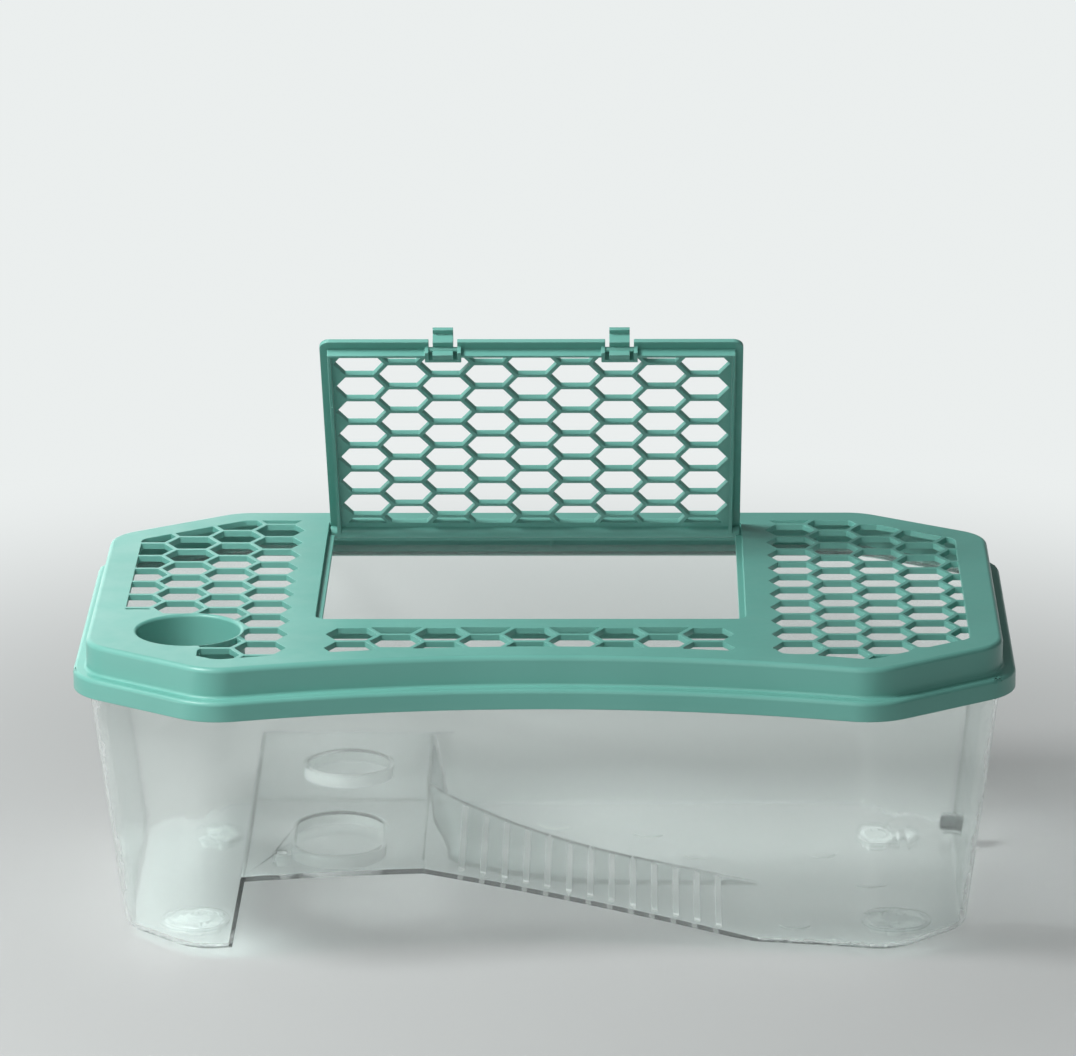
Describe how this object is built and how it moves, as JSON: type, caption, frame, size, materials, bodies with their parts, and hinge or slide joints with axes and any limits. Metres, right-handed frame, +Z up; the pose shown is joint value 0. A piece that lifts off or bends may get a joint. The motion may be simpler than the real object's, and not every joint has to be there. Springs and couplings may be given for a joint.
{
  "type": "turtle tank",
  "caption": "Clear moulded turtle tank with basking deck and ramp, a vented two-tier lid with a feeding port, and a hinged honeycomb access flap with turning latches.",
  "frame": {"origin": "bottom centre of the whole tank, on the table under the feet", "axes": "+X to the right seen from the front, +Y to the back, +Z up"},
  "size_m": [0.428, 0.2636, 0.2657],
  "materials": {
    "clear_plastic": "clear, slightly milky, polished",
    "clear_foot": "clear soft plastic",
    "grey_rubber": "dull grey",
    "mint_plastic": "mint green, satin moulded"
  },
  "bodies": {
    "tank": {"tank_body": "clear_plastic", "foot_front_left": "clear_foot", "foot_front_right": "clear_foot", "foot_rear_left": "clear_foot", "foot_rear_right": "clear_foot"},
    "plug": {"drain_plug": "grey_rubber"},
    "lid": {"lid": "mint_plastic"},
    "flap": {"access_flap": "mint_plastic"},
    "left_latch": {"latch_left": "mint_plastic"},
    "right_latch": {"latch_right": "mint_plastic"}
  },
  "joints": [
    {"name": "lid_lift", "type": "slide", "parent": "tank", "child": "lid", "axis": [0, 0, 1], "range_m": [0, 0.06]},
    {"name": "plug_pull", "type": "slide", "parent": "tank", "child": "plug", "axis": [1, 0, 0], "range_m": [0, 0.012]},
    {"name": "flap_hinge", "type": "hinge", "parent": "lid", "child": "flap", "pos_m": [-0.0065, 0.1033, 0.1408], "axis": [-1, 0, 0], "range_deg": [-50.8, 41.2]},
    {"name": "left_latch_turn", "type": "hinge", "parent": "flap", "child": "left_latch", "pos_m": [-0.0472, 0.01067, 0.25533], "axis": [-1, 0, 0], "range_deg": [0, 25]},
    {"name": "right_latch_turn", "type": "hinge", "parent": "flap", "child": "right_latch", "pos_m": [0.0342, 0.01067, 0.25533], "axis": [-1, 0, 0], "range_deg": [0, 25]}
  ]
}
